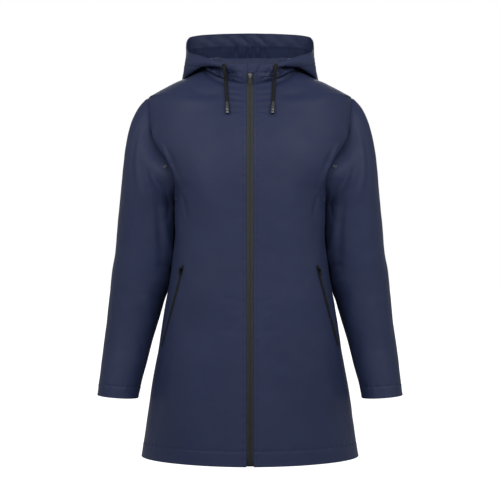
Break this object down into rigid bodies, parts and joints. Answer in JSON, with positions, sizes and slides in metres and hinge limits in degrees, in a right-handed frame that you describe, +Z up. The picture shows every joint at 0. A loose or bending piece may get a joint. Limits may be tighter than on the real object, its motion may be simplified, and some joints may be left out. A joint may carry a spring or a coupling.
{
  "type": "hooded raincoat",
  "caption": "Hip-length hooded raincoat in navy coated cloth, hollow as worn, with a front zip, slanted zip pockets, a drawcord hood lying down and underarm vent eyelets.",
  "frame": {"origin": "midway between the two shoulder-neck points, where the wearer holds the coat", "axes": "+Z up, -Y out of the front, +X towards the wearer's left"},
  "size_m": [0.648, 0.3521, 0.9262],
  "materials": {
    "coated_cloth": "smooth matt coated fabric with a soft sheen",
    "zip_tape": "matt rubbery water-resistant tape",
    "dark_metal": "satin gunmetal lacquer",
    "cord": "matt braided",
    "cord_end": "glossy",
    "eyelet": "satin nickel"
  },
  "bodies": {
    "coat": {"front_left": "coated_cloth", "front_right": "coated_cloth", "back": "coated_cloth", "sleeve_left": "coated_cloth", "sleeve_right": "coated_cloth", "hood_side_left": "coated_cloth", "hood_side_right": "coated_cloth", "hood_middle": "coated_cloth", "zip_garage": "coated_cloth", "zip_tape_left": "zip_tape", "zip_tape_right": "zip_tape", "pocket_zip_left": "zip_tape", "pocket_zip_right": "zip_tape", "zip_slider": "dark_metal", "zip_box": "dark_metal", "pocket_slider_left": "dark_metal", "pocket_slider_right": "dark_metal", "cord_eyelet_left": "dark_metal", "cord_eyelet_right": "dark_metal", "drawcord_left": "cord", "drawcord_right": "cord", "cord_end_left": "cord_end", "cord_end_right": "cord_end", "vent_body_left": "eyelet", "vent_body_right": "eyelet", "vent_sleeve_left": "eyelet", "vent_sleeve_right": "eyelet"},
    "front_pull": {"zip_pull": "dark_metal"},
    "pocket_pull_left": {"pocket_pull_left": "dark_metal"},
    "pocket_pull_right": {"pocket_pull_right": "dark_metal"}
  },
  "joints": [
    {"name": "front_pull_flip", "type": "hinge", "parent": "coat", "child": "front_pull", "pos_m": [0, -0.0891, -0.0245], "axis": [-1, 0, 0], "range_deg": [0, 150]},
    {"name": "pocket_pull_left_flip", "type": "hinge", "parent": "coat", "child": "pocket_pull_left", "pos_m": [0.14559, -0.10882, -0.42888], "axis": [-0.5954, -0.7575, -0.2677], "range_deg": [0, 150]},
    {"name": "pocket_pull_right_flip", "type": "hinge", "parent": "coat", "child": "pocket_pull_right", "pos_m": [-0.14559, -0.10882, -0.42888], "axis": [-0.5954, 0.7575, 0.2677], "range_deg": [0, 150]}
  ]
}
